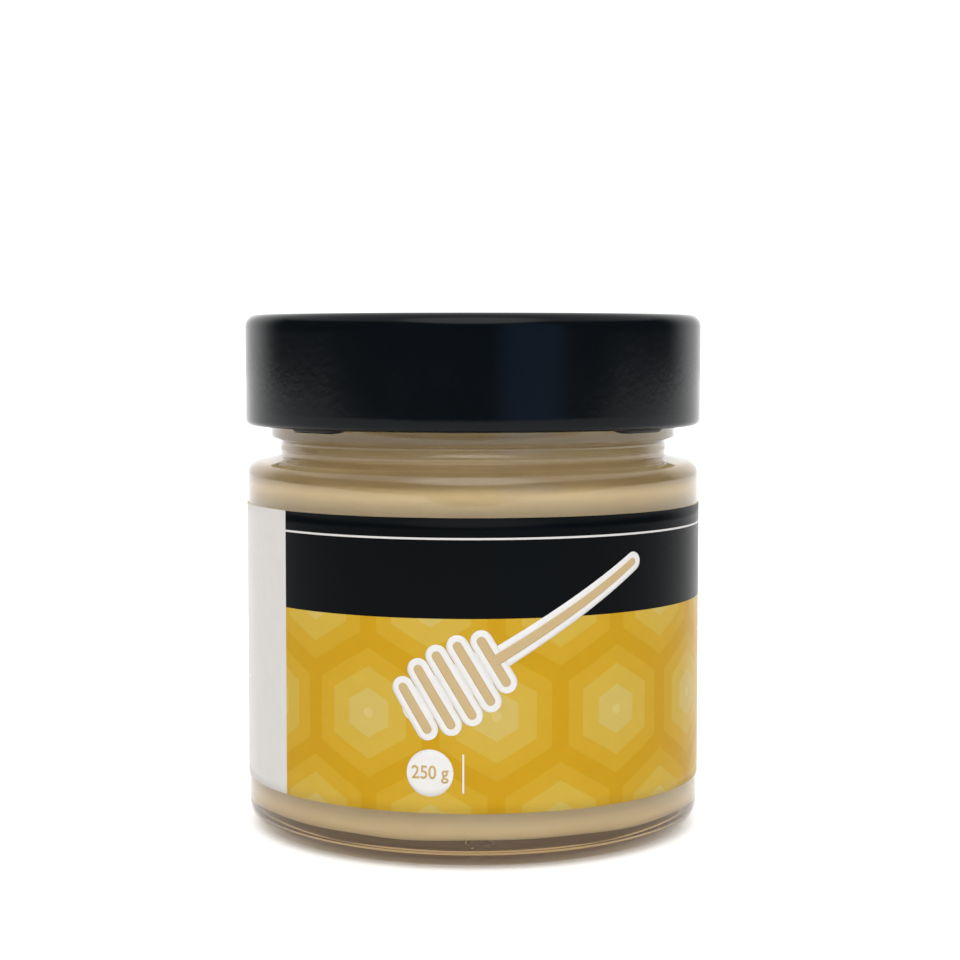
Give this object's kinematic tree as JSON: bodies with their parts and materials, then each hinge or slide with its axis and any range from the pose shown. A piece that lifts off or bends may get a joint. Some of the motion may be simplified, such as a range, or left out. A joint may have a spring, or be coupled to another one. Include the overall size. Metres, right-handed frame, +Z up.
{
  "type": "honey jar",
  "caption": "Round clear glass jar with a black twist-off steel lid, a wrapped gold and black paper label and a filling of creamed honey.",
  "frame": {"origin": "on the jar's axis, in the plane that the jar stands on", "axes": "+Z up along the jar's axis, -Y out of the front of the label, +X to the right as seen from the front"},
  "size_m": [0.072, 0.072, 0.0806],
  "materials": {
    "glass": "smooth clear flint glass, faintly wavy",
    "honey": "opaque creamed honey, pale beige gold, wet gloss against the glass",
    "lid": "black satin lacquer on tinplate",
    "label": "coated paper printed in black, gold and white, satin"
  },
  "bodies": {
    "root": {"jar": "glass", "honey": "honey", "lid": "lid", "label": "label"}
  },
  "joints": []
}
